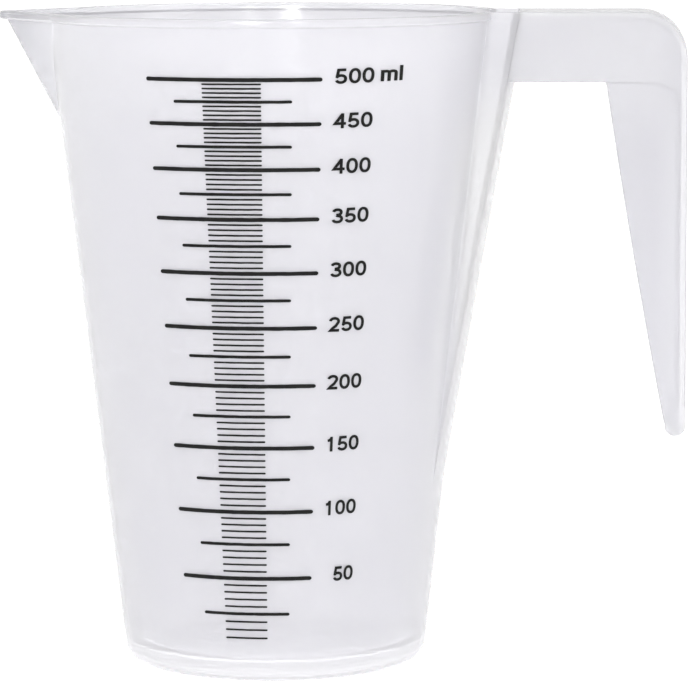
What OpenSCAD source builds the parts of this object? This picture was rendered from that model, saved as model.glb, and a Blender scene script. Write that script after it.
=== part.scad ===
// Measuring jug of half a litre: a conical vessel with a pulled spout, a hollow
// panel under the handle, an open hook handle and printed graduation lines.
// Origin on the jug's axis at the surface that it stands on. +Z is up, the
// handle points to +X, the spout to -X and the printed scale faces -Y.

/* [Vessel] */
// Height from the table to the rim
height = 133.5; // [110:0.5:170]
// Outer radius of the wall's cone at the table
base_r = 30.7; // [26:0.1:36]
// Outer radius of the wall's cone at the rim
rim_r = 45.9; // [42:0.1:54]
// Thickness of the wall
wall = 1.3; // [0.9:0.1:2.2]
// Thickness of the floor
floor_t = 2.2; // [1.4:0.1:4]
// Depth of the hollow under the floor
foot_recess = 1.8; // [0.6:0.1:3]
// Width of the ring that the jug stands on
foot_w = 2.6; // [1.6:0.1:5]
// Rounding of the outer edge at the base
base_round = 3.6; // [1.5:0.1:6]
// Rounding between the wall and the floor, inside
floor_round = 3; // [1:0.1:6]

/* [Rim] */
// Height of the thickened lip at the rim
lip_h = 1.6; // [0.6:0.1:2.5]
// How far the lip stands out from the wall
lip_out = 0.6; // [0.3:0.1:1.5]

/* [Spout] */
// Distance from the axis to the spout's tip, outside
spout_reach = 55.5; // [53:0.1:62]
// Height of the spout, from its root on the wall to the rim
spout_h = 24; // [14:0.1:32]
// Width of the spout where it leaves the rim's circle
spout_w = 38.6; // [28:0.2:42]
// Outer radius of the spout's tip
spout_tip_r = 2.6; // [2:0.1:5]
// Outer radius of the spout's lower end
spout_root_r = 8; // [4:0.5:12]

/* [Handle panel] */
// Width of the handle and of the hollow panel that carries it
handle_w = 21.6; // [16:0.2:28]
// How far the panel stands out from the wall at the rim
panel_out = 6.2; // [4:0.1:10]
// Height above the table where the panel leaves the wall
panel_foot = 38; // [25:0.5:70]
// Distance from the rim down to the ledge on the sides of the panel's hollow
ledge_drop = 21.3; // [16:0.1:40]
// Width of the ledge
ledge_w = 0.3; // [0.1:0.05:0.5]

/* [Handle] */
// Distance from the axis to the back of the handle
handle_reach = 84.5; // [76:0.1:96]
// Depth of the handle's top arm
arm_h = 14; // [10:0.1:20]
// Outer radius of the corner between the arm and the grip
corner_r = 9.6; // [5:0.1:14]
// Depth of the grip where it leaves the arm
grip_top_d = 16.3; // [12:0.1:22]
// Depth of the grip at its tip
grip_tip_d = 4.2; // [3.4:0.1:8]
// Height of the grip's tip above the table
grip_tip_z = 47.9; // [30:0.1:70]
// Thickness of the handle's plates
handle_t = 1.4; // [1:0.1:2.2]
// How far the sides of the grip lie inside those of the arm
grip_inset = 0.5; // [0.2:0.1:1.2]
// How far the grip's inner edge bows towards the wall
grip_bow = 0.4; // [0:0.1:1.5]

/* [Printed scale] */
// Distance from the rim down to the highest line, which is at 500 ml with the sizes above
scale_room = 11.7; // [8:0.1:20]
// Number of long lines
long_count = 10; // [4:1:10]
// Number of divisions between two long lines, with a medium line in the middle
division_count = 10; // [4:2:10]
// Number of divisions from the bottom up to the lowest line
lowest_count = 2; // [1:1:5]
// Angle round the axis from the side of the jug to the middle of the lines
scale_angle = 5; // [0:0.5:20]
// Angle that a long line spans
long_angle = 46; // [36:1:52]
// Angle that a medium line spans
medium_angle = 30.8; // [24:0.2:34]
// Angle that a short line spans
short_angle = 15.2; // [10:0.2:20]
// Height of a long line
long_t = 0.8; // [0.5:0.1:1]
// Height of a medium line
medium_t = 0.6; // [0.4:0.1:0.9]
// Height of a short line
short_t = 0.35; // [0.25:0.05:0.5]
// Thickness of the ink
ink_t = 0.12; // [0.08:0.01:0.2]

/* [Hidden] */
$fn = 96;
over = 1;
ink_gap = 0.02;
// The spout and the panel start inside the wall, so that they cross it at a clear angle.
flank_in = 0.35;
panel_lead = 6;

// The cone of the wall: its radius grows by taper for each unit of height.
taper = (rim_r - base_r) / height;
wall_across = wall * sqrt(1 + taper * taper);
floor_z = foot_recess + floor_t;
function wall_r(z) = base_r + taper * z;
function inner_r(z) = wall_r(z) - wall_across;

// Height of the liquid for a share of the volume under the highest line. The liquid
// fills a cone, so its volume grows as the cube of the radius at its surface.
low_r = inner_r(floor_z);
full_r = inner_r(height - scale_room);
function level(share) =
    floor_z + (pow(pow(low_r, 3) + share * (pow(full_r, 3) - pow(low_r, 3)), 1 / 3) - low_r) / taper;

// The print lies a little off the true levels: shares of the volume with shifts as shares of the height.
shift_shares = [
    [0, 0.0155], [0.05, 0.014], [0.1, 0.008], [0.2, -0.002], [0.3, -0.006], [0.4, -0.0055],
    [0.5, -0.005], [0.6, -0.004], [0.7, 0], [0.8, 0.0015], [0.9, 0], [1, 0]
];
function line_z(share) = level(share) + lookup(share, shift_shares) * height;

// The panel's outer face is a steeper cone that leaves the wall at panel_foot.
panel_slope = (rim_r + panel_out - wall_r(panel_foot)) / (height - panel_foot);
function panel_r(z) = wall_r(panel_foot) + panel_slope * (z - panel_foot);
panel_across = wall * sqrt(1 + panel_slope * panel_slope);

spout_root_z = height - spout_h;
spout_tip_x = spout_reach - spout_tip_r;
spout_root_x = wall_r(spout_root_z) - spout_root_r - flank_in;
mouth_r = rim_r - spout_tip_r - flank_in;
mouth_angle = asin(spout_w / 2 / rim_r);
arm_z = height - arm_h;
grip_x = handle_reach - grip_top_d;

// Profile of the outside: the foot's rounding, then the cone up to the rim.
module outer_profile() {
    lean = atan(taper);
    centre_x = wall_r(base_round) - base_round / cos(lean);
    polygon([
        [0, 0],
        [centre_x, 0],
        for (a = [-90 : 10 : 0]) [centre_x + base_round * cos(a), base_round + base_round * sin(a)],
        [rim_r, height],
        [0, height]
    ]);
}

// Profile of the inside, with its own rounding between the wall and the floor.
module inner_profile() {
    centre_z = floor_z + floor_round;
    centre_x = inner_r(centre_z) - floor_round;
    polygon([
        [0, floor_z],
        [centre_x, floor_z],
        for (a = [-90 : 10 : 0]) [centre_x + floor_round * cos(a), centre_z + floor_round * sin(a)],
        [inner_r(height + over), height + over],
        [0, height + over]
    ]);
}

// The corners of the spout at the rim, seen from above: two on the wall's circle and the tip.
module mouth_corners(grow) {
    for (side = [-1, 1])
        rotate([0, 0, side * mouth_angle]) translate([-mouth_r, 0]) circle(r = spout_tip_r + grow);
    translate([-spout_tip_x, 0]) circle(r = spout_tip_r + grow);
}

// The spout widens from its root on the wall to its mouth at the rim. rise lifts a cut past the rim.
module spout(inset, rise) {
    skin = over / 4;
    hull() {
        translate([-spout_root_x, 0, spout_root_z]) cylinder(r = spout_root_r - inset, h = skin);
        translate([0, 0, height - skin]) linear_extrude(height = skin + rise) mouth_corners(-inset);
    }
}

// The steeper cone of the panel's outer face, drawn in by inset.
module panel_cone(inset, low, top) {
    rotate_extrude()
        polygon([
            [0, low],
            [panel_r(low) - inset, low],
            [panel_r(top) - inset, top],
            [0, top]
        ]);
}

// The panel, or its hollow: the slice of its cone between two upright sides.
module panel(inset, low, top, w) {
    intersection() {
        panel_cone(inset, low, top);
        translate([0, -w / 2, low]) cube([2 * rim_r, w, top - low]);
    }
}

// The lip follows the rim's circle and the spout's mouth.
module lip() {
    translate([0, 0, height - lip_h]) linear_extrude(height = lip_h) {
        circle(r = rim_r + lip_out);
        hull() mouth_corners(lip_out);
    }
}

module vessel() {
    color("whitesmoke")
        difference() {
            union() {
                rotate_extrude() outer_profile();
                spout(0, 0);
                panel(0, panel_foot - panel_lead, height, handle_w);
                lip();
            }
            rotate_extrude() inner_profile();
            spout(wall_across, over);
            panel(panel_across, panel_foot - panel_lead, height + over, handle_w - 2 * wall);
            panel(panel_across, height - ledge_drop, height + over, handle_w - 2 * wall + 2 * ledge_w);
            translate([0, 0, -over])
                cylinder(r = wall_r(0) - base_round - foot_w, h = foot_recess + over);
        }
}

// Outline of the handle from the side: the arm, the corner and the grip.
// inset draws the outline in by the thickness of a plate at the top, the back
// and the tip, which leaves the channel of the handle open inwards.
module hook_outline(inset) {
    top = height - inset;
    back = handle_reach - inset;
    round_r = corner_r - inset;
    tip_r = grip_tip_d / 2;
    tip_c = [handle_reach - tip_r, grip_tip_z + tip_r];
    inner_low = [handle_reach - grip_tip_d, tip_c[1]];
    inner_top = [grip_x, arm_z];
    bow_steps = 8;
    polygon([
        [rim_r, arm_z],
        [rim_r, top],
        for (a = [90 : -10 : 0])
            [back - round_r + round_r * cos(a), top - round_r + round_r * sin(a)],
        for (a = [0 : -15 : -180])
            [tip_c[0] + (tip_r - inset) * cos(a), tip_c[1] + (tip_r - inset) * sin(a)],
        for (k = [1 : bow_steps]) let (up = k / bow_steps)
            inner_low + (inner_top - inner_low) * up - [4 * grip_bow * up * (1 - up), 0]
    ]);
}

// The channel also runs out through the inner side of the arm and the grip.
module channel_outline() {
    hook_outline(handle_t);
    polygon([
        [rim_r, arm_z - over],
        [rim_r, arm_z],
        [grip_x + handle_t, arm_z],
        [handle_reach - handle_t, grip_tip_z + grip_tip_d],
        [handle_reach - grip_tip_d - over, grip_tip_z + grip_tip_d],
        [grip_x - over, arm_z - over]
    ]);
}

// A slab across the handle's width with an outline drawn in its side view.
module across(w) {
    rotate([90, 0, 0]) linear_extrude(height = w, center = true) children();
}

// The part of the side view where the grip's sides are drawn in.
module grip_zone() {
    polygon([
        [0, arm_z],
        [handle_reach - corner_r, arm_z],
        [handle_reach + over, arm_z - corner_r],
        [handle_reach + over, 0],
        [0, 0]
    ]);
}

module handle() {
    color("whitesmoke")
        difference() {
            union() {
                across(handle_w) difference() {
                    hook_outline(0);
                    grip_zone();
                }
                across(handle_w - 2 * grip_inset) intersection() {
                    hook_outline(0);
                    grip_zone();
                }
            }
            across(handle_w - 2 * grip_inset - 2 * handle_t) channel_outline();
            panel_cone(0, arm_z - over, height + over);
        }
}

// One printed line: a thin band on the wall's cone at the height of a division.
module line_on_wall(division, span, t) {
    low = line_z(division / (long_count * division_count)) - t / 2;
    top = low + t;
    near = ink_gap;
    far = ink_gap + ink_t;
    rotate([0, 0, -90 - scale_angle - span / 2])
        rotate_extrude(angle = span)
            polygon([
                [wall_r(low) + near, low],
                [wall_r(low) + far, low],
                [wall_r(top) + far, top],
                [wall_r(top) + near, top]
            ]);
}

module long_lines() {
    color("black")
        for (n = [1 : long_count]) line_on_wall(n * division_count, long_angle, long_t);
}

module medium_lines() {
    color("black")
        for (n = [1 : long_count]) line_on_wall((n - 1 / 2) * division_count, medium_angle, medium_t);
}

module short_lines() {
    color("black")
        for (n = [lowest_count : long_count * division_count])
            if (n % (division_count / 2) != 0) line_on_wall(n, short_angle, short_t);
}

vessel();
handle();
long_lines();
medium_lines();
short_lines();
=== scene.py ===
"""A half-litre measuring jug of natural polypropylene: conical vessel, pulled spout, hollow handle panel,
open hook handle and a black printed scale. Lengths are in millimetres until a mesh is made."""
import math

import bmesh
import bpy
from mathutils import Matrix, Vector, noise


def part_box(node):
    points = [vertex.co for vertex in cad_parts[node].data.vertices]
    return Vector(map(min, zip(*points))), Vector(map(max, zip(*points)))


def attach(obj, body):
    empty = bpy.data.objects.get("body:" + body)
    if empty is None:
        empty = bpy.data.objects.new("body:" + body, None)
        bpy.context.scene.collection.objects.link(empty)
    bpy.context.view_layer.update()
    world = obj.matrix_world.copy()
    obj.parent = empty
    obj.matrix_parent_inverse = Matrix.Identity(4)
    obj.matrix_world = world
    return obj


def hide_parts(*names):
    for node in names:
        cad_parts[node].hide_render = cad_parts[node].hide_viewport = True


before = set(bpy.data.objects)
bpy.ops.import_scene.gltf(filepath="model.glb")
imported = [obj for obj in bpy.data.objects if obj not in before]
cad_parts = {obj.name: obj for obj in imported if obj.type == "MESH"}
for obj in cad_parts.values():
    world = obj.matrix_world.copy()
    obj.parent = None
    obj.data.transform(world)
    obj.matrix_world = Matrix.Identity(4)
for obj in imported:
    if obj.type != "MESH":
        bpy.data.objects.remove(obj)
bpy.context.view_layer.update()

MM = 0.001

# Sizes of the jug, the same values as the solids have. The body:
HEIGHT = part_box("vessel")[1][2] / MM
BASE_R = 30.7
RIM_R = 45.9
WALL = 1.3
FLOOR_T = 2.2
FOOT_RECESS = 1.8
FOOT_W = 2.6
BASE_ROUND = 3.6
FLOOR_ROUND = 3.0
LIP_H = 1.6
LIP_OUT = 0.6

# The spout: how far its lip reaches from the axis, its height, its width at the rim and the discs' radii
SPOUT_REACH = 55.5
SPOUT_H = 24.0
SPOUT_W = 38.6
SPOUT_TIP_R = 2.6
SPOUT_ROOT_R = 8.0
FLANK_IN = 0.35

# The hollow panel under the handle, with the ledge in its hollow
PANEL_W = 21.6
PANEL_OUT = 6.2
PANEL_FOOT = 38.0
LEDGE_DROP = 21.3
LEDGE_W = 0.3

# The handle
HANDLE_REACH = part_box("handle")[1][0] / MM
ARM_H = 14.0
CORNER_R = 9.6
GRIP_TOP_D = 16.3
GRIP_TIP_D = 4.2
GRIP_TIP_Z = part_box("handle")[0][2] / MM
PLATE_T = 1.4
GRIP_INSET = 0.5
GRIP_BOW = 0.4

# The printed scale: angles in degrees round the body, volumes in millilitres
SCALE_ROOM = 11.7
SCALE_ANGLE = 5.0
LONG_ANGLE, MEDIUM_ANGLE, SHORT_ANGLE = 46.0, 30.8, 15.2
LONG_T, MEDIUM_T, SHORT_T = 0.8, 0.6, 0.35
INK_T = 0.1
FULL = 500
LONG_EVERY, MEDIUM_EVERY, SHORT_EVERY = 50, 25, 5
FIRST_SHORT = 10

# What follows from them
TAPER = (RIM_R - BASE_R) / HEIGHT
WALL_ACROSS = WALL * math.hypot(1, TAPER)
FLOOR_Z = FOOT_RECESS + FLOOR_T
SPOUT_ROOT_Z = HEIGHT - SPOUT_H
LEDGE_Z = HEIGHT - LEDGE_DROP
ARM_Z = HEIGHT - ARM_H
PANEL_HALF = PANEL_W / 2


def wall_r(z):
    """Radius of the wall's outer face at a height."""
    return BASE_R + TAPER * z


PANEL_SLOPE = (RIM_R + PANEL_OUT - wall_r(PANEL_FOOT)) / (HEIGHT - PANEL_FOOT)
PANEL_ACROSS = WALL * math.hypot(1, PANEL_SLOPE)


def panel_r(z):
    """How far from the axis the panel's face stands at a height."""
    return wall_r(PANEL_FOOT) + PANEL_SLOPE * (z - PANEL_FOOT)


# The print lies a little off the true levels: (share of the volume, shift as a share of the height)
SHIFT_SHARES = ((0, 0.0155), (0.05, 0.014), (0.1, 0.008), (0.2, -0.002), (0.3, -0.006), (0.4, -0.0055),
                (0.5, -0.005), (0.6, -0.004), (0.7, 0), (0.8, 0.0015), (0.9, 0), (1, 0))


def level(volume):
    """Height of the printed line for a volume in millilitres."""
    share = volume / FULL
    low_r = wall_r(FLOOR_Z) - WALL_ACROSS
    full_r = wall_r(HEIGHT - SCALE_ROOM) - WALL_ACROSS
    true_level = FLOOR_Z + ((low_r ** 3 + share * (full_r ** 3 - low_r ** 3)) ** (1 / 3) - low_r) / TAPER
    for (v0, s0), (v1, s1) in zip(SHIFT_SHARES, SHIFT_SHARES[1:]):
        if v0 <= share <= v1:
            shift = s0 + (s1 - s0) * (share - v0) / (v1 - v0)
    return true_level + shift * HEIGHT


# Materials
# Sockets of a Mix node that mixes colours, by number because its number and vector modes use the same names
MIX_SHARE, MIX_FROM, MIX_TO, MIX_RESULT = 0, 6, 7, 2


class Nodes:
    """A material's node tree, with short calls to add and join nodes."""

    def __init__(self, name):
        self.mat = bpy.data.materials.new(name)
        self.mat.use_nodes = True
        self.tree = self.mat.node_tree
        self.shader = self.tree.nodes["Principled BSDF"]

    def add(self, kind, **values):
        node = self.tree.nodes.new(kind)
        for key, value in values.items():
            if key in node.inputs:
                node.inputs[key].default_value = value
            else:
                setattr(node, key, value)
        return node

    def join(self, out_node, out, in_node, into):
        self.tree.links.new(out_node.outputs[out], in_node.inputs[into])

    def noise(self, scale, detail, stretch=(1, 1, 1)):
        """Noise over the object's own coordinates, scale in ripples a metre."""
        place = self.add("ShaderNodeTexCoord")
        mapping = self.add("ShaderNodeMapping")
        mapping.inputs["Scale"].default_value = stretch
        self.join(place, "Object", mapping, "Vector")
        node = self.add("ShaderNodeTexNoise", Scale=scale, Detail=detail)
        self.join(mapping, "Vector", node, "Vector")
        return node

    def ramp(self, source, out, stops):
        node = self.add("ShaderNodeValToRGB")
        for element, (place, color) in zip(node.color_ramp.elements, stops):
            element.position = place
            element.color = (*color, 1)
        self.join(source, out, node, "Fac")
        return node

    def spread(self, source, out, low, high):
        """Brings a value between 0 and 1 to the range from low to high."""
        node = self.add("ShaderNodeMapRange")
        node.inputs["To Min"].default_value = low
        node.inputs["To Max"].default_value = high
        self.join(source, out, node, "Value")
        return node

    def along(self, axis, start, stop):
        """Rises from 0 to 1 between two places, in metres, on one of the object's own axes."""
        place = self.add("ShaderNodeTexCoord")
        parts = self.add("ShaderNodeSeparateXYZ")
        self.join(place, "Object", parts, "Vector")
        node = self.add("ShaderNodeMapRange")
        node.inputs["From Min"].default_value = start
        node.inputs["From Max"].default_value = stop
        self.join(parts, axis, node, "Value")
        return node

    def toward(self, share, tone, out, color):
        """Blends a tone to another colour by the share that a node gives."""
        node = self.add("ShaderNodeMix", data_type="RGBA")
        node.inputs[MIX_TO].default_value = (*color, 1)
        self.join(tone, out, node, MIX_FROM)
        self.join(share, "Result", node, MIX_SHARE)
        return node

    def bump(self, source, out, distance, strength):
        node = self.add("ShaderNodeBump", Distance=distance, Strength=strength)
        self.join(source, out, node, "Height")
        self.join(node, "Normal", self.shader, "Normal")


# The plastic: ripples a metre of its clouds, its gloss and its moulded grain, then how it bends and
# scatters light (depth in metres)
CLOUD_RIPPLES, GLOSS_RIPPLES, GRAIN_RIPPLES = 26.0, 90.0, 900.0
CLOUD_STRETCH = (1, 1, 0.45)
PLASTIC_ROUGHNESS = (0.11, 0.17)
GRAIN_HEIGHT, GRAIN_STRENGTH = 0.00004, 0.22
PLASTIC_IOR = 1.49
SCATTER_DEPTH = 0.0012


def polypropylene(name, pale, deep, through, painted_shading):
    """Natural polypropylene: milky, translucent, with a soft gloss and a faint moulded grain.
    The last argument lists (axis, where it starts, where it is full, tone), in metres: painted light and shade,
    which make places lighter or darker than the lamps make them. It is an aid to the shading and doesn't stand for
    a different plastic or a thicker wall."""
    m = Nodes(name)
    clouds = m.noise(CLOUD_RIPPLES, 2.0, CLOUD_STRETCH)
    tone, out = m.ramp(clouds, "Fac", [(0.3, deep), (0.7, pale)]), "Color"
    # Painted light and shade: the tone turns lighter or darker along the object's own axes
    for axis, start, full, color in painted_shading:
        tone, out = m.toward(m.along(axis, start, full), tone, out, color), MIX_RESULT
    m.join(tone, out, m.shader, "Base Color")
    haze = m.noise(GLOSS_RIPPLES, 4.0)
    rough = m.spread(haze, "Fac", *PLASTIC_ROUGHNESS)
    m.join(rough, "Result", m.shader, "Roughness")
    grain = m.noise(GRAIN_RIPPLES, 2.0)
    m.bump(grain, "Fac", GRAIN_HEIGHT, GRAIN_STRENGTH)
    m.shader.inputs["IOR"].default_value = PLASTIC_IOR
    m.shader.inputs["Transmission Weight"].default_value = through
    m.shader.inputs["Subsurface Weight"].default_value = 1.0
    m.shader.inputs["Subsurface Radius"].default_value = (1.0, 1.0, 1.0)
    m.shader.inputs["Subsurface Scale"].default_value = SCATTER_DEPTH
    return m.mat


INK_RIPPLES = 420.0
INK_TONE, INK_THIN_TONE = (0.004, 0.004, 0.004), (0.012, 0.012, 0.010)
INK_ROUGHNESS = (0.38, 0.6)
INK_GRAIN_HEIGHT, INK_GRAIN_STRENGTH = 0.00003, 0.5
INK_SHINE = 0.16


def printed_ink():
    """Black screen-printed ink with a satin face and small thin spots."""
    m = Nodes("printed_ink")
    blot = m.noise(INK_RIPPLES, 3.0)
    tone = m.ramp(blot, "Fac", [(0.35, INK_TONE), (0.8, INK_THIN_TONE)])
    m.join(tone, "Color", m.shader, "Base Color")
    rough = m.spread(blot, "Fac", *INK_ROUGHNESS)
    m.join(rough, "Result", m.shader, "Roughness")
    m.bump(blot, "Fac", INK_GRAIN_HEIGHT, INK_GRAIN_STRENGTH)
    m.shader.inputs["Specular IOR Level"].default_value = INK_SHINE
    return m.mat


FLOOR_TONE = 0.35
FLOOR_GLOW, PATCH_GLOW = 0.90, 1.70
PATCH_SCALE = 22.0       # one over the radius in metres of the bright patch under the jug


def light_table():
    """The pale floor glows a little, as a light table does, so that no hard shadow falls on it.
    It glows most in a patch under the jug, which lights the jug through its base."""
    m = Nodes("pale_floor")
    m.shader.inputs["Base Color"].default_value = (FLOOR_TONE, FLOOR_TONE, FLOOR_TONE, 1)
    m.shader.inputs["Roughness"].default_value = 0.9
    m.shader.inputs["Specular IOR Level"].default_value = 0.0
    m.shader.inputs["Emission Color"].default_value = (1, 1, 1, 1)
    place = m.add("ShaderNodeTexCoord")
    mapping = m.add("ShaderNodeMapping")
    mapping.inputs["Scale"].default_value = (PATCH_SCALE, PATCH_SCALE, PATCH_SCALE)
    m.join(place, "Object", mapping, "Vector")
    patch = m.add("ShaderNodeTexGradient", gradient_type="SPHERICAL")
    m.join(mapping, "Vector", patch, "Vector")
    m.join(m.spread(patch, "Fac", FLOOR_GLOW, PATCH_GLOW), "Result", m.shader, "Emission Strength")
    return m.mat


# Painted light and shade on the vessel: each entry makes the wall lighter or darker than the lamps make it
VESSEL_PAINTED_SHADING = (
    ("X", 0.032, 0.044, (0.952, 0.948, 0.969)),      # painted light: lighter towards the handle panel, where the panel shades the wall
    ("Z", 0.105, 0.125, (0.866, 0.862, 0.890)),      # back to the plain tone near the rim, where the painted light ends
    ("X", -0.042, -0.052, (0.75, 0.746, 0.776)),     # painted shade: darker in the spout
    ("Z", 0.010, 0.004, (0.89, 0.886, 0.912)),       # painted light: lighter at the base
)
# Painted light and shade on the handle: each entry makes it lighter or darker than the lamps make it
HANDLE_PAINTED_SHADING = (
    ("Z", 0.120, 0.105, (0.795, 0.791, 0.82)),       # painted shade: darker in the grip
    ("X", 0.078, 0.082, (0.832, 0.828, 0.855)),      # painted light: a lighter band along its back
)
VESSEL_MAT = polypropylene("vessel_polypropylene", (0.860, 0.856, 0.884), (0.850, 0.846, 0.874), 0.6,
                           VESSEL_PAINTED_SHADING)
HANDLE_MAT = polypropylene("handle_polypropylene", (0.855, 0.851, 0.876), (0.845, 0.841, 0.867), 0.54,
                           HANDLE_PAINTED_SHADING)
INK_MAT = printed_ink()


# Mesh helpers, with the angles in degrees below which an edge is shaded smooth
SHELL_SMOOTH, HANDLE_SMOOTH, INK_SMOOTH = 35.0, 40, 50


def to_object(name, bm, material, smooth_angle=SHELL_SMOOTH):
    """Makes an object from a bmesh drawn in millimetres, which it uses up."""
    bmesh.ops.scale(bm, vec=(MM, MM, MM), verts=bm.verts)
    mesh = bpy.data.meshes.new(name)
    bm.to_mesh(mesh)
    bm.free()
    piece = bpy.data.objects.new(name, mesh)
    bpy.context.scene.collection.objects.link(piece)
    mesh.materials.append(material)
    shade(piece, smooth_angle)
    return piece


def shade(piece, angle):
    """Smooth shading, with edges sharper than angle, in degrees, left crisp."""
    limit = math.radians(angle)
    bm = bmesh.new()
    bm.from_mesh(piece.data)
    for face in bm.faces:
        face.smooth = True
    for edge in bm.edges:
        edge.smooth = len(edge.link_faces) == 2 and edge.calc_face_angle(0.0) < limit
    bm.to_mesh(piece.data)
    bm.free()


def arc(cx, cy, r, start, stop, steps):
    """Points on an arc, angles in radians."""
    turns = [start + (stop - start) * k / steps for k in range(steps + 1)]
    return [(cx + r * math.cos(a), cy + r * math.sin(a)) for a in turns]


# The spout: at each level its outline is the hull of three discs, two on the wall and one at the tip
ROOT_X = wall_r(SPOUT_ROOT_Z) - SPOUT_ROOT_R - FLANK_IN
MOUTH_ANGLE = math.asin(SPOUT_W / 2 / RIM_R)
MOUTH_R = RIM_R - SPOUT_TIP_R - FLANK_IN
CREASE_BLEND = 0.22
FADE_BELOW = 0.5         # how fast the spout draws back into the wall below its root
WIDEST_SPOUT = math.radians(40)
HALVINGS = 30


def spout_reach(z, turn, r, offset):
    """How far the spout stands out of a circle of radius r, at an angle from -X; negative inside it."""
    share = min(1.0, max(0.0, (z - SPOUT_ROOT_Z) / SPOUT_H))
    tip = Vector((ROOT_X + (SPOUT_REACH - SPOUT_TIP_R - ROOT_X) * share, 0))
    corner = Vector((ROOT_X + (MOUTH_R * math.cos(MOUTH_ANGLE) - ROOT_X) * share,
                     MOUTH_R * math.sin(MOUTH_ANGLE) * share))
    disc_r = SPOUT_ROOT_R + (SPOUT_TIP_R - SPOUT_ROOT_R) * share + offset
    ray = Vector((math.cos(turn), math.sin(turn)))
    place = ray * r
    flank = corner - tip
    normal = Vector((flank.y, -flank.x)).normalized()
    along = min(1.0, max(0.0, (place - tip).dot(flank) / max(flank.length_squared, 1e-9)))
    outside = (place - tip - flank * along).length - disc_r
    if (place - tip).dot(normal) < 0:
        outside = -disc_r
    below = max(0.0, SPOUT_ROOT_Z - z)
    if outside > 0 or below > 0:
        return -max(outside, 0.0) - FADE_BELOW * below - (FLANK_IN if below > 0 else 0.0)
    exits = [r]
    for centre in (tip, corner):
        near = centre.dot(ray)
        root = disc_r ** 2 - centre.length_squared + near ** 2
        if root > 0:
            exits.append(near + math.sqrt(root))
    if flank.length > 1e-6:
        hit = ray * ((tip.dot(normal) + disc_r) / ray.dot(normal))
        if 0 <= (hit - tip).dot(flank) <= flank.length_squared:
            exits.append(hit.length)
    return max(exits) - r


def crease(z, r, offset):
    """The angle from -X at which the spout's flank meets the wall."""
    low, high = 0.0, WIDEST_SPOUT
    if spout_reach(z, low, r, offset) <= 0:
        return 0.0
    for _ in range(HALVINGS):
        middle = (low + high) / 2
        if spout_reach(z, middle, r, offset) > 0:
            low = middle
        else:
            high = middle
    return low


# The vessel: points along the panel, its edges and the wall, shares and degrees of the spout's points, then
# the least angle kept for the spout's points and the radii of the panel's upright edges
PANEL_STEPS, FILLET_STEPS, WALL_STEPS = 8, 5, 60
SPOUT_SHARES = (0, 0.03, 0.06, 0.09, 0.12, 0.16, 0.2, 0.26, 0.34, 0.44, 0.54, 0.64, 0.74, 0.83, 0.9, 0.95, 0.98, 1)
CREASE_DEGREES = (0.35, 0.8, 1.5, 2.6, 4.0)
LEAST_SPOUT = math.radians(6)
PANEL_EDGE = 0.7
SHARP_EDGE = 0.12
WIDEST_EDGE = 0.4        # as a share of how far the panel stands out


def section(z, r, panel, half, offset, edge):
    """One level outline of the vessel: the wall's circle, the panel at +X and the spout at -X.
    offset is how far the face lies out of the wall's own, or None for a plain circle. A level without
    a panel or a spout keeps the same number of points."""
    out = max(panel, r)
    edge = min(edge, WIDEST_EDGE * (out - r))
    convex = (math.sqrt((out - edge) ** 2 - (half - edge) ** 2), half - edge)
    face_end = math.atan2(convex[1], convex[0])
    concave = (math.sqrt((r + edge) ** 2 - (half + edge) ** 2), half + edge)
    wall_start = math.atan2(concave[1], concave[0])
    side = arc(0, 0, out, 0, face_end, PANEL_STEPS)
    side += arc(*convex, edge, face_end, math.pi / 2, FILLET_STEPS)[1:]
    side += arc(*concave, edge, -math.pi / 2, wall_start - math.pi, FILLET_STEPS)
    edge_turn = crease(z, r, offset) if offset is not None else 0.0
    zone = max(edge_turn, LEAST_SPOUT)
    turns = [zone * share for share in SPOUT_SHARES] + [zone + math.radians(d) for d in CREASE_DEGREES]
    side += arc(0, 0, r, wall_start, math.pi - turns[-1], WALL_STEPS)[1:-1]
    for turn in reversed(turns):
        stand = 0.0
        if offset is not None:
            reach = spout_reach(z, turn, r, offset)
            stand = (reach + math.hypot(reach, CREASE_BLEND)) / 2
            stand *= 1 - max(0.0, turn - edge_turn) / (turns[-1] - edge_turn)
        side.append((-(r + stand) * math.cos(turn), (r + stand) * math.sin(turn)))
    mirrored = [(x, -y) for x, y in reversed(side[1:-1])]
    return side + mirrored


LEVEL_SLACK = 0.1        # keeps the ring at the arm's lower side on the arm's side of the limit


def level_ring(z, grow=0.0, inner=False):
    """The outline at a level, drawn in by the wall's thickness where inner is set."""
    return [(x, y, z) for x, y in level_outline(z, grow, inner)]


def lip_ring(z, grow):
    """The lip is an upright band, so all its rings have the rim's outline."""
    return [(x, y, z) for x, y in level_outline(HEIGHT, grow, False)]


def level_outline(z, grow, inner):
    """Points of the outer or the inner outline at a level. grow moves the wall out, but not the panel."""
    offset = grow - (WALL_ACROSS if inner else 0.0)
    panel = panel_r(z) - (PANEL_ACROSS if inner else 0.0)
    half = PANEL_HALF
    if inner:
        half -= WALL - (LEDGE_W if z > LEDGE_Z else 0.0)
    # The panel's upright edges are sharp from the arm's lower side up, where the arm lies flush with them
    edge = SHARP_EDGE if z > ARM_Z - LEVEL_SLACK and not inner else PANEL_EDGE
    return section(z, wall_r(z) + offset, panel, half, offset, edge)


def round_ring(r, z):
    """A plain circle with as many points as a level outline."""
    return [(x, y, z) for x, y in section(z, r, 0.0, PANEL_HALF * r / BASE_R, None, PANEL_EDGE)]


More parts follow.
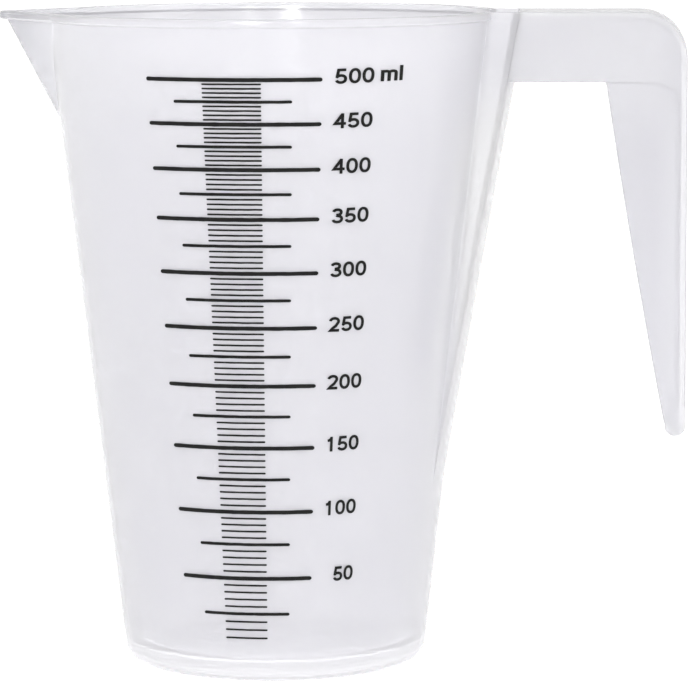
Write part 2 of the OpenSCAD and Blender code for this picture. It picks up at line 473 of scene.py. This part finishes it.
def loft(bm, rings):
    """Joins rings of equal length with quads and closes both ends with a fan."""
    grid = [[bm.verts.new(p) for p in ring] for ring in rings]
    count = len(grid[0])
    for low, top in zip(grid, grid[1:]):
        for k in range(count):
            n = (k + 1) % count
            bm.faces.new((low[k], low[n], top[n], top[k]))
    for ring, flip in ((grid[0], True), (grid[-1], False)):
        middle = Vector((0, 0, 0))
        for v in ring:
            middle += v.co
        centre = bm.verts.new(middle / count)
        for k in range(count):
            pair = (ring[k], ring[(k + 1) % count])
            bm.faces.new((*(reversed(pair) if flip else pair), centre))


def steps_between(low, high, count):
    """Equal steps from low to high, both ends included."""
    return [low + (high - low) * k / count for k in range(count + 1)]


def wall_levels(low, top):
    """Heights of the rings on a wall: close together at the spout's root, at the ledge and under the arm."""
    levels = steps_between(low, SPOUT_ROOT_Z - 2, 26) + steps_between(SPOUT_ROOT_Z - 1.2, SPOUT_ROOT_Z + 3, 14)
    levels += steps_between(SPOUT_ROOT_Z + 3.6, top, 10)
    levels += [LEDGE_Z - 0.12, LEDGE_Z + 0.12, ARM_Z - 0.6, ARM_Z]
    return sorted(levels)


# The vessel's profile in millimetres: radii with heights from the foot's hollow, radii on that hollow, then
# the inner edge of the ring that the jug stands on, as (out from the ring's inner face, height)
GATE_MARK = ((0.5, -0.35), (0.9, -0.3), (1.1, 0.0))
HOLLOW_RINGS = (2.5, 10.0, 18.0)
HOLLOW_ROUND = 0.4
FOOT_INNER_EDGE = ((0.0, 0.3), (0.08, 0.08), (0.3, 0.0))
# The lip's lower side as (out from the wall, up from the lip's lower edge), then the rim's two rounded edges as
# (back from the face, down from the top)
LIP_FOOT = ((0.2, -0.02), (0.45, 0.06), (LIP_OUT, 0.25))
LIP_START, LIP_START_OUT = 0.25, 0.03
RIM_OUTER_EDGE = ((0.0, 0.4), (0.1, 0.14), (0.3, 0.0))
RIM_INNER_EDGE = ((0.3, 0.0), (0.09, 0.14), (0.0, 0.4))
FLOOR_RINGS = (20.0, 12.0, 5.0, 1.0)
ROUND_STEP = 10          # degrees
WELD = 0.004


def vessel():
    """The whole shell as one loft, from the middle of its underside over the rim to the middle of its floor."""
    rings = []
    lean = math.atan(TAPER)
    fillet_x = wall_r(BASE_ROUND) - BASE_ROUND / math.cos(lean)
    ring_in = wall_r(0) - BASE_ROUND - FOOT_W
    # Underside: the gate mark, the hollow and the ring that the jug stands on
    for r, rise in GATE_MARK:
        rings.append(round_ring(r, FOOT_RECESS + rise))
    for r in (*HOLLOW_RINGS, ring_in - 2 * HOLLOW_ROUND):
        rings.append(round_ring(r, FOOT_RECESS))
    for a in (60, 30, 0):
        turn = math.radians(a)
        rings.append(round_ring(ring_in - HOLLOW_ROUND + HOLLOW_ROUND * math.cos(turn),
                                FOOT_RECESS - HOLLOW_ROUND + HOLLOW_ROUND * math.sin(turn)))
    for out, z in FOOT_INNER_EDGE:
        rings.append(round_ring(ring_in + out, z))
    # Outside: the rounded edge, then the wall up to the lip, and the lip
    for a in range(-90, 1, ROUND_STEP):
        turn = math.radians(a)
        rings.append(round_ring(fillet_x + BASE_ROUND * math.cos(turn), BASE_ROUND * (1 + math.sin(turn))))
    lip_low = HEIGHT - LIP_H
    rings += [level_ring(z) for z in wall_levels(BASE_ROUND + 2, lip_low - 0.5)]
    rings.append(level_ring(lip_low - LIP_START, LIP_START_OUT))
    rings += [lip_ring(lip_low + rise, out) for out, rise in LIP_FOOT]
    rings += [lip_ring(HEIGHT - drop, LIP_OUT - back) for back, drop in RIM_OUTER_EDGE]
    # Inside: over the rim and down to the floor
    rings += [level_ring(HEIGHT - drop, back, inner=True) for back, drop in RIM_INNER_EDGE]
    for z in reversed(wall_levels(FLOOR_Z + FLOOR_ROUND + 1, HEIGHT - 1.2)):
        rings.append(level_ring(z, inner=True))
    centre_z = FLOOR_Z + FLOOR_ROUND
    centre_x = wall_r(centre_z) - WALL_ACROSS - FLOOR_ROUND
    for a in range(0, -91, -ROUND_STEP):
        turn = math.radians(a)
        rings.append(round_ring(centre_x + FLOOR_ROUND * math.cos(turn), centre_z + FLOOR_ROUND * math.sin(turn)))
    for r in FLOOR_RINGS:
        rings.append(round_ring(r, FLOOR_Z))
    bm = bmesh.new()
    loft(bm, rings)
    bmesh.ops.remove_doubles(bm, verts=bm.verts, dist=WELD)
    bmesh.ops.recalc_face_normals(bm, faces=bm.faces)
    return to_object("vessel_shell", bm, VESSEL_MAT)


# The handle
def prism(outline, low_y, high_y, lean=0.0):
    """A slab across the handle between two distances from its middle, its outline drawn in the side view.
    lean brings its near face nearer to the middle for each millimetre along X."""
    bm = bmesh.new()
    near = [bm.verts.new((x, low_y - lean * (x - RIM_R), z)) for x, z in outline]
    far = [bm.verts.new((x, high_y, z)) for x, z in outline]
    count = len(outline)
    bm.faces.new(near)
    bm.faces.new(list(reversed(far)))
    for k in range(count):
        n = (k + 1) % count
        bm.faces.new((near[k], far[k], far[n], near[n]))
    bmesh.ops.recalc_face_normals(bm, faces=bm.faces)
    return bm


def mirrored(bm):
    """The same slab on the other side of the handle."""
    bmesh.ops.scale(bm, vec=(1, -1, 1), verts=bm.verts)
    bmesh.ops.reverse_faces(bm, faces=bm.faces)
    return bm


def cut(piece, tool_bm):
    """Takes a shape drawn in millimetres away from a piece."""
    tool = to_object("tool", tool_bm, HANDLE_MAT)
    modifier = piece.modifiers.new("cut", "BOOLEAN")
    modifier.operation = "DIFFERENCE"
    modifier.solver = "EXACT"
    modifier.object = tool
    apply_modifiers(piece)
    bpy.data.objects.remove(tool, do_unlink=True)


def apply_modifiers(piece):
    """Puts the mesh that a piece's modifiers give in place of its own."""
    graph = bpy.context.evaluated_depsgraph_get()
    mesh = bpy.data.meshes.new_from_object(piece.evaluated_get(graph))
    old = piece.data
    piece.modifiers.clear()
    piece.data = mesh
    bpy.data.meshes.remove(old)


def grip_inner_x(z):
    """The grip's inner edge bows a little between the arm and the tip."""
    top_x, low_x = HANDLE_REACH - GRIP_TOP_D, HANDLE_REACH - GRIP_TIP_D
    low_z = GRIP_TIP_Z + GRIP_TIP_D / 2
    share = (ARM_Z - z) / (ARM_Z - low_z)
    return top_x + (low_x - top_x) * share - GRIP_BOW * 4 * share * (1 - share)


# Straight pieces of the handle's arcs, and how far the cutters of the hollow and of the sides run past it
CORNER_ARC_STEPS, TIP_ARC_STEPS, GRIP_STEPS, CHANNEL_TIP_STEPS = 18, 14, 10, 5
CHANNEL_RUN = 4.0
SIDE_CUTTER_RUN = 4


def hook_outline():
    """The handle seen from the side: arm, corner and grip."""
    tip_r = GRIP_TIP_D / 2
    low_z = GRIP_TIP_Z + tip_r
    points = [(RIM_R, ARM_Z), (RIM_R, HEIGHT)]
    points += arc(HANDLE_REACH - CORNER_R, HEIGHT - CORNER_R, CORNER_R, math.pi / 2, 0, CORNER_ARC_STEPS)
    points += arc(HANDLE_REACH - tip_r, low_z, tip_r, 0, -math.pi, TIP_ARC_STEPS)
    points += [(grip_inner_x(z), z) for z in steps_between(low_z, ARM_Z, GRIP_STEPS)[1:]]
    return points


def channel_outline():
    """The hollow of the handle, run out through the inner side of the arm and the grip."""
    top, back = HEIGHT - PLATE_T, HANDLE_REACH - PLATE_T
    tip_r = GRIP_TIP_D / 2
    inner_r = tip_r - PLATE_T
    run = CHANNEL_RUN
    points = [(RIM_R, ARM_Z - run), (RIM_R, top)]
    points += arc(back - CORNER_R + PLATE_T, top - CORNER_R + PLATE_T, CORNER_R - PLATE_T, math.pi / 2, 0,
                  CORNER_ARC_STEPS)
    points += arc(HANDLE_REACH - tip_r, GRIP_TIP_Z + tip_r, inner_r, 0, -math.pi / 2, CHANNEL_TIP_STEPS)
    points += [(HANDLE_REACH - tip_r - 0.3, GRIP_TIP_Z + PLATE_T + 0.1),
               (HANDLE_REACH - GRIP_TIP_D - run, GRIP_TIP_Z + PLATE_T + run),
               (HANDLE_REACH - GRIP_TOP_D - run, ARM_Z - run)]
    return points


# The back plate stands a little proud of the handle's sides; a curved ledge closes the arm above the grip
BACK_BAND = 1.25
BAND_END = 7              # the band stops this far above the tip and runs out over BAND_FADE
BAND_FADE = 4
LEDGE_END = 6.8
LEDGE_CORNER = 4.6
CORNER_STEP_START = 66.0
CORNER_STEP = 0.17
CORNER_STEP_TOP = 3.0     # at its start the sloped side reaches from here under the top
CORNER_STEP_LOW = 2       # to here under the arm
SIDE_RUN, TIP_RUN = 5, 9  # how far the cutter runs past the handle


def grip_side_outline():
    """Where the grip's sides lie inside those of the arm."""
    band_x = HANDLE_REACH - BACK_BAND
    points = [(RIM_R - SIDE_RUN, GRIP_TIP_Z - TIP_RUN), (RIM_R - SIDE_RUN, ARM_Z), (band_x - LEDGE_END, ARM_Z)]
    for a in range(15, 91, 15):
        turn = math.radians(a)
        points.append((band_x - LEDGE_END * (1 - math.sin(turn)), ARM_Z - LEDGE_CORNER * (1 - math.cos(turn))))
    points += [(band_x, GRIP_TIP_Z + BAND_END), (HANDLE_REACH + SIDE_RUN, GRIP_TIP_Z + (BAND_END - BAND_FADE)),
               (HANDLE_REACH + SIDE_RUN, GRIP_TIP_Z - TIP_RUN)]
    return points


def corner_side_outline():
    """Where the corner's side slopes back from the proud band along its outer edge."""
    inner_r = CORNER_R - BACK_BAND
    points = arc(HANDLE_REACH - CORNER_R, HEIGHT - CORNER_R, inner_r, math.radians(80), 0, 14)
    points += [(HANDLE_REACH - BACK_BAND, GRIP_TIP_Z + BAND_END),
               (HANDLE_REACH - GRIP_TIP_D, GRIP_TIP_Z + BAND_END)]
    points += [(CORNER_STEP_START, ARM_Z - CORNER_STEP_LOW), (CORNER_STEP_START, HEIGHT - CORNER_STEP_TOP)]
    return list(reversed(points))


# A hair of room between the handle's end and the panel's face, so that the two faces don't lie in one place
HANDLE_ROOM = 0.02
PANEL_CUTTER_RUN = 3
PANEL_CUTTER_SIDES = 256


def panel_cutter():
    """The outside of the handle panel, which the handle butts against."""
    bm = bmesh.new()
    rings = []
    for z in (ARM_Z - PANEL_CUTTER_RUN, HEIGHT + PANEL_CUTTER_RUN):
        r = panel_r(z) + HANDLE_ROOM
        rings.append([(x, y, z) for x, y in arc(0, 0, r, 0, 2 * math.pi, PANEL_CUTTER_SIDES)[:-1]])
    loft(bm, rings)
    bmesh.ops.recalc_face_normals(bm, faces=bm.faces)
    return bm


SOFT_EDGE = 0.3
SOFT_EDGE_STEPS = 3
SOFT_EDGE_FROM = 38      # degrees


def handle():
    """The hook: a slab hollowed from its inner side, with soft edges, stepped sides and a seat on the panel."""
    piece = to_object("handle_hook", prism(hook_outline(), -PANEL_HALF, PANEL_HALF), HANDLE_MAT)
    inner_half = PANEL_HALF - GRIP_INSET - PLATE_T
    cut(piece, prism(channel_outline(), -inner_half, inner_half))
    bevel = piece.modifiers.new("soft_edges", "BEVEL")
    bevel.width = SOFT_EDGE * MM
    bevel.segments = SOFT_EDGE_STEPS
    bevel.limit_method = "ANGLE"
    bevel.angle_limit = math.radians(SOFT_EDGE_FROM)
    bevel.use_clamp_overlap = True
    apply_modifiers(piece)
    grip_y = PANEL_HALF - GRIP_INSET
    lean = CORNER_STEP / (HANDLE_REACH - BACK_BAND - CORNER_STEP_START)
    corner_y = PANEL_HALF + lean * (CORNER_STEP_START - RIM_R)
    far_y = PANEL_HALF + SIDE_CUTTER_RUN
    for flip in (False, True):
        for tool in (prism(grip_side_outline(), grip_y, far_y),
                     prism(corner_side_outline(), corner_y, far_y, lean)):
            cut(piece, mirrored(tool) if flip else tool)
    cut(piece, panel_cutter())
    # The cutters' materials came along with their faces
    piece.data.materials.clear()
    piece.data.materials.append(HANDLE_MAT)
    shade(piece, HANDLE_SMOOTH)
    return piece


# The printed scale
INK_SEAT = 0.015
LINE_STEP = 1.5                    # degrees between the points of a line
LINE_ENDS = (0.0, 0.25, 0.7, 1.0)  # points on a line's rounded end, as shares of its length
LEAST_END = 0.35                   # a line's thickness at its very end, as a share
LINE_UNEVEN, LINE_DRIFT = 0.10, 0.035


def on_wall(azimuth, z, lift):
    """A point on the printed side: azimuth in degrees from -Y, positive towards the handle."""
    a = math.radians(azimuth - 90)
    r = wall_r(z) + lift
    return (r * math.cos(a), r * math.sin(a), z)


def ink_solid(bm, left, right):
    """A thin closed solid of ink between two rows of (azimuth, z) points."""
    rows = []
    for lift in (INK_SEAT, INK_SEAT + INK_T):
        rows.append([[bm.verts.new(on_wall(*p, lift)) for p in side] for side in (left, right)])
    (la, ra), (lb, rb) = rows
    last = len(left) - 1
    for k in range(last):
        bm.faces.new((lb[k], rb[k], rb[k + 1], lb[k + 1]))
        bm.faces.new((la[k], la[k + 1], ra[k + 1], ra[k]))
        bm.faces.new((la[k], lb[k], lb[k + 1], la[k + 1]))
        bm.faces.new((ra[k], ra[k + 1], rb[k + 1], rb[k]))
    bm.faces.new((la[0], ra[0], rb[0], lb[0]))
    bm.faces.new((la[last], lb[last], rb[last], ra[last]))


def line(bm, volume, span, thick):
    """A graduation line: a band round the wall with rounded ends and a slightly uneven edge."""
    z = level(volume)
    degrees_per_mm = math.degrees(1 / wall_r(z))
    round_off = thick / 2 * degrees_per_mm
    start, stop = -SCALE_ANGLE - span / 2, -SCALE_ANGLE + span / 2
    across = [start + round_off * e for e in LINE_ENDS]
    middle = max(2, int((stop - start) / LINE_STEP))
    across += steps_between(start + round_off, stop - round_off, middle)[1:-1]
    across += [stop - round_off * e for e in reversed(LINE_ENDS)]
    # The noise is read along the line, in steps of a degree, and up the wall, in steps of a millimetre
    low, top = [], []
    for a in across:
        near_end = min(a - start, stop - a) / round_off
        share = math.sqrt(max(0.0, 1 - (1 - min(1.0, near_end)) ** 2)) if near_end < 1 else 1.0
        share = max(share, LEAST_END)
        wobble = noise.noise(Vector((a * 0.9, z * 3.1, span)))
        h = thick / 2 * (share * (1 + LINE_UNEVEN * wobble))
        drift = LINE_DRIFT * noise.noise(Vector((a * 0.35, z * 1.7, 4.0)))
        low.append((a, z - h + drift))
        top.append((a, z + h + drift))
    ink_solid(bm, low, top)


def lines(name, volumes, span, thick):
    """All lines of one kind as one piece."""
    bm = bmesh.new()
    for volume in volumes:
        line(bm, volume, span, thick)
    bmesh.ops.recalc_face_normals(bm, faces=bm.faces)
    return to_object(name, bm, INK_MAT, INK_SMOOTH)


# The numerals, drawn as strokes in a box one unit high: the stroke's width, a digit's width and the pen's step
STROKE = 0.185
DIGIT_W = 0.74
ADVANCE = 0.835
M_HEIGHT, M_ARCH, M_WIDTH = 0.74, 0.52, 0.95
LETTER_GAP = 0.12


def oval(cx, cy, rx, ry, start, stop, steps, square=2.25):
    """Part of a slightly squared oval, angles in degrees."""
    points = []
    for k in range(steps + 1):
        a = math.radians(start + (stop - start) * k / steps)
        c, s = math.cos(a), math.sin(a)
        points.append((cx + rx * math.copysign(abs(c) ** (2 / square), c),
                       cy + ry * math.copysign(abs(s) ** (2 / square), s)))
    return points


def glyphs():
    """The strokes of each letter, as lists of points."""
    h = STROKE / 2
    arch_h = M_HEIGHT - M_ARCH - h
    mid = DIGIT_W / 2
    rx = mid - h
    return {
        "0": [oval(mid, 0.5, rx, 0.5 - h, 90, 450, 40)],
        "1": [[(0.40, 0.0), (0.40, 1.0)], [(0.13, 0.745), (0.25, 0.765), (0.34, 0.83), (0.40, 0.93)]],
        "2": [oval(mid, 0.70, rx, 0.30 - h, 172, -18, 20, 2.1)
              + [(0.47, 0.40), (0.27, 0.26), (0.13, h + 0.02), (0.70, h)]],
        "3": [oval(mid - 0.01, 0.735, rx - 0.03, 0.265 - h, 168, -90, 22, 2.1) + [(0.30, 0.54)],
              [(0.30, 0.54)] + oval(mid, 0.295, rx, 0.295 - h, 90, -168, 24, 2.1)],
        "4": [[(0.50, 0.90), (0.085, 0.315), (0.74, 0.315)], [(0.52, 0.0), (0.52, 0.985)]],
        "5": [[(0.66, 1 - h), (0.21, 1 - h), (0.135, 0.475)]
              + oval(mid - 0.01, 0.32, rx, 0.32 - h, 140, -162, 28, 2.15)],
        "m": [[(h, 0.0), (h, M_HEIGHT)], oval(0.275, M_ARCH, 0.19, arch_h, 180, 0, 14, 2.4) + [(0.465, 0.0)],
              oval(0.66, M_ARCH, 0.195, arch_h, 180, 0, 14, 2.4) + [(0.855, 0.0)]],
        "l": [[(h, 0.0), (h, 1.0)]],
    }


GLYPHS = glyphs()
STROKE_GAP = 0.12        # the longest step along a stroke
MITRE_LIMIT = 0.38
END_LENGTH, END_WIDTH = 0.10, 0.72


def resample(path, gap):
    """The path with extra points, so that a long stroke bends with the wall."""
    out = [path[0]]
    for a, b in zip(path, path[1:]):
        length = math.dist(a, b)
        count = max(1, int(length / gap))
        for k in range(1, count + 1):
            out.append((a[0] + (b[0] - a[0]) * k / count, a[1] + (b[1] - a[1]) * k / count))
    return out


def ribbon(path, width):
    """The two sides of a stroke, mitred at its corners and slightly rounded at its ends."""
    pts = resample(path, STROKE_GAP)
    closed = math.dist(pts[0], pts[-1]) < 1e-6
    left, right = [], []
    last = len(pts) - 1
    for k, p in enumerate(pts):
        before = pts[k - 1] if k > 0 else (pts[last - 1] if closed else p)
        after = pts[k + 1] if k < last else (pts[1] if closed else p)
        d0 = Vector((p[0] - before[0], p[1] - before[1]))
        d1 = Vector((after[0] - p[0], after[1] - p[1]))
        d0 = d0.normalized() if d0.length > 0 else d1.normalized()
        d1 = d1.normalized() if d1.length > 0 else d0
        normal = Vector((-(d0.y + d1.y), d0.x + d1.x)).normalized()
        reach = width / 2 / max(MITRE_LIMIT, normal.dot(Vector((-d0.y, d0.x))))
        left.append((p[0] + normal.x * reach, p[1] + normal.y * reach))
        right.append((p[0] - normal.x * reach, p[1] - normal.y * reach))
    if not closed:
        # Each end gets two narrower tips, and shoulders a little way in
        for at, step in ((0, 1), (-1, -1)):
            a, b = Vector(left[at]), Vector(right[at])
            inward = (Vector(pts[at + step]) - Vector(pts[at])).normalized() * width * END_LENGTH
            centre = (a + b) / 2
            tips = (centre + (a - centre) * END_WIDTH, centre + (b - centre) * END_WIDTH)
            shoulders = (a + inward, b + inward)
            if at == 0:
                left[0:1] = [tuple(tips[0]), tuple(shoulders[0])]
                right[0:1] = [tuple(tips[1]), tuple(shoulders[1])]
            else:
                left[-1:] = [tuple(shoulders[0]), tuple(tips[0])]
                right[-1:] = [tuple(shoulders[1]), tuple(tips[1])]
    return left, right


# The numerals' height and their middle's height over the line, in millimetres, and the writing's slope. Then,
# in degrees round the body, the width of one unit of the drawing and where the writing ends, at the 500 ml
# line and at the foot.
NUMERAL_H = 3.0
NUMERAL_RISE = 0.55
NUMERAL_TILT = 0.022
UNIT_ANGLE_TOP, UNIT_ANGLE_LOW = 4.4, 4.75
RIGHT_EDGE_TOP, RIGHT_EDGE_LOW = 31.8, 33.4
# The unit "ml" starts at this angle, a little higher and drawn a little wider than the numerals
ML_ANGLE = 33.7
ML_RISE = 0.3
ML_WIDER = 1.18


def text_width(text):
    """The width of a numeral, in units of the drawing."""
    return ADVANCE * (len(text) - 1) + DIGIT_W


def write(bm, text, azimuth, z_mid, unit_angle):
    """Writes text to the right of azimuth, with its middle at z_mid."""
    pen = 0.0
    for letter in text:
        for path in GLYPHS[letter]:
            sides = ribbon(path, STROKE)
            placed = []
            for side in sides:
                row = []
                for x, y in side:
                    z = z_mid + (y - 0.5) * NUMERAL_H + (pen + x) * NUMERAL_TILT * NUMERAL_H
                    row.append((azimuth + (pen + x) * unit_angle, z))
                placed.append(row)
            ink_solid(bm, *placed)
        pen += M_WIDTH + LETTER_GAP if letter == "m" else ADVANCE


def numerals():
    """The numerals of the long lines, which all end near one upright line, and the unit after the top one."""
    bm = bmesh.new()
    top_z = level(FULL)
    for volume in range(LONG_EVERY, FULL + 1, LONG_EVERY):
        z = level(volume)
        unit = UNIT_ANGLE_LOW + (UNIT_ANGLE_TOP - UNIT_ANGLE_LOW) * z / top_z
        right_edge = RIGHT_EDGE_LOW + (RIGHT_EDGE_TOP - RIGHT_EDGE_LOW) * z / top_z
        text = str(volume)
        write(bm, text, right_edge - text_width(text) * unit, z + NUMERAL_RISE, unit)
    write(bm, "ml", ML_ANGLE, top_z + NUMERAL_RISE + ML_RISE, UNIT_ANGLE_TOP * ML_WIDER)
    bmesh.ops.recalc_face_normals(bm, faces=bm.faces)
    return to_object("numerals", bm, INK_MAT, INK_SMOOTH)


shell = vessel()
hook = handle()
long_marks = lines("long_marks", range(LONG_EVERY, FULL + 1, LONG_EVERY), LONG_ANGLE, LONG_T)
medium_marks = lines("medium_marks", range(MEDIUM_EVERY, FULL, LONG_EVERY), MEDIUM_ANGLE, MEDIUM_T)
short_marks = lines("short_marks", [v for v in range(FIRST_SHORT, FULL, SHORT_EVERY) if v % MEDIUM_EVERY],
                    SHORT_ANGLE, SHORT_T)
figures = numerals()

for piece, node, slot in ((shell, "vessel", "polypropylene"), (hook, "handle", "handle_polypropylene"),
                          (long_marks, "long_lines", "ink"), (medium_marks, "medium_lines", "ink"),
                          (short_marks, "short_lines", "ink")):
    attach(piece, "root")
    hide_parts(node)
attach(figures, "root")


# Floor, light and camera, all in metres
FLOOR_REACH = 6.0
LIT_POINT = (0, 0, 0.07)
# Name, place, width and height, and power in watts; all of them face LIT_POINT
SOFTBOXES = (
    ("key_softbox", (-0.149, -1.493, 0.56), (0.17, 0.36), 4.6),
    ("wide_softbox", (-0.03, -1.5, 0.56), (0.2, 0.2), 1.2),
    ("narrow_softbox", (0.476, -1.422, 0.56), (0.17, 0.2), 1.6),
    ("side_softbox", (1.2, -0.5, 0.6), (0.7, 1.0), 2.4),
    ("top_softbox", (0.0, 0.25, 1.3), (1.2, 0.8), 1.0),
)
SURROUND_LEFT, SURROUND_RIGHT = 1.0, 0.8


def floor():
    """A wide square that the jug stands on."""
    bm = bmesh.new()
    reach = FLOOR_REACH / MM
    corners = [bm.verts.new((x * reach, y * reach, 0)) for x, y in ((-1, -1), (1, -1), (1, 1), (-1, 1))]
    bm.faces.new(corners)
    plane = to_object("floor", bm, light_table())


def softbox(name, place, size, power):
    """A rectangular light that faces the jug."""
    data = bpy.data.lights.new(name, "AREA")
    data.shape = "RECTANGLE"
    data.size, data.size_y = size
    data.energy = power
    lamp = bpy.data.objects.new(name, data)
    bpy.context.scene.collection.objects.link(lamp)
    lamp.location = place
    facing = Vector(LIT_POINT) - Vector(place)
    lamp.rotation_euler = facing.to_track_quat("-Z", "Y").to_euler()


def surround():
    """White light from all sides, a little weaker towards +X."""
    world = bpy.data.worlds.new("studio")
    bpy.context.scene.world = world
    world.use_nodes = True
    nodes, links = world.node_tree.nodes, world.node_tree.links
    background = nodes["Background"]
    background.inputs["Color"].default_value = (1, 1, 1, 1)
    place = nodes.new("ShaderNodeTexCoord")
    split = nodes.new("ShaderNodeSeparateXYZ")
    glow = nodes.new("ShaderNodeMapRange")
    glow.inputs["From Min"].default_value = -1.0
    glow.inputs["To Min"].default_value = SURROUND_LEFT
    glow.inputs["To Max"].default_value = SURROUND_RIGHT
    links.new(place.outputs["Generated"], split.inputs["Vector"])
    links.new(split.outputs["X"], glow.inputs["Value"])
    links.new(glow.outputs["Result"], background.inputs["Strength"])


# The camera stands where the outline, the base's curve and the printed lines of the photograph put it.
# TURN is how far it goes round the jug, because the jug's own axes are straight.
FRAME_W = 690
SENSOR = 36.0
FOCAL_PIXELS = 4034.0
PITCH, YAW, ROLL = math.radians(6.9255), math.radians(1.0145), math.radians(-0.2010)
TURN = math.radians(5.5)
CAMERA_BACK, CAMERA_UP = 0.82545, 0.16574


def photo_camera():
    """The photograph's camera: facing +Y, tipped down by PITCH, turned by YAW and rolled by ROLL."""
    data = bpy.data.cameras.new("camera")
    data.sensor_width = SENSOR
    data.lens = FOCAL_PIXELS / FRAME_W * SENSOR
    camera = bpy.data.objects.new("camera", data)
    bpy.context.scene.collection.objects.link(camera)
    facing = (Matrix.Rotation(TURN - YAW, 3, "Z") @ Matrix.Rotation(math.pi / 2 - PITCH, 3, "X")
              @ Matrix.Rotation(ROLL, 3, "Z"))
    camera.rotation_euler = facing.to_euler()
    camera.location = Matrix.Rotation(TURN, 3, "Z") @ Vector((0.0, -CAMERA_BACK, CAMERA_UP))
    bpy.context.scene.camera = camera
    bpy.context.scene.view_settings.view_transform = "Standard"


floor()
for box in SOFTBOXES:
    softbox(*box)
surround()
photo_camera()
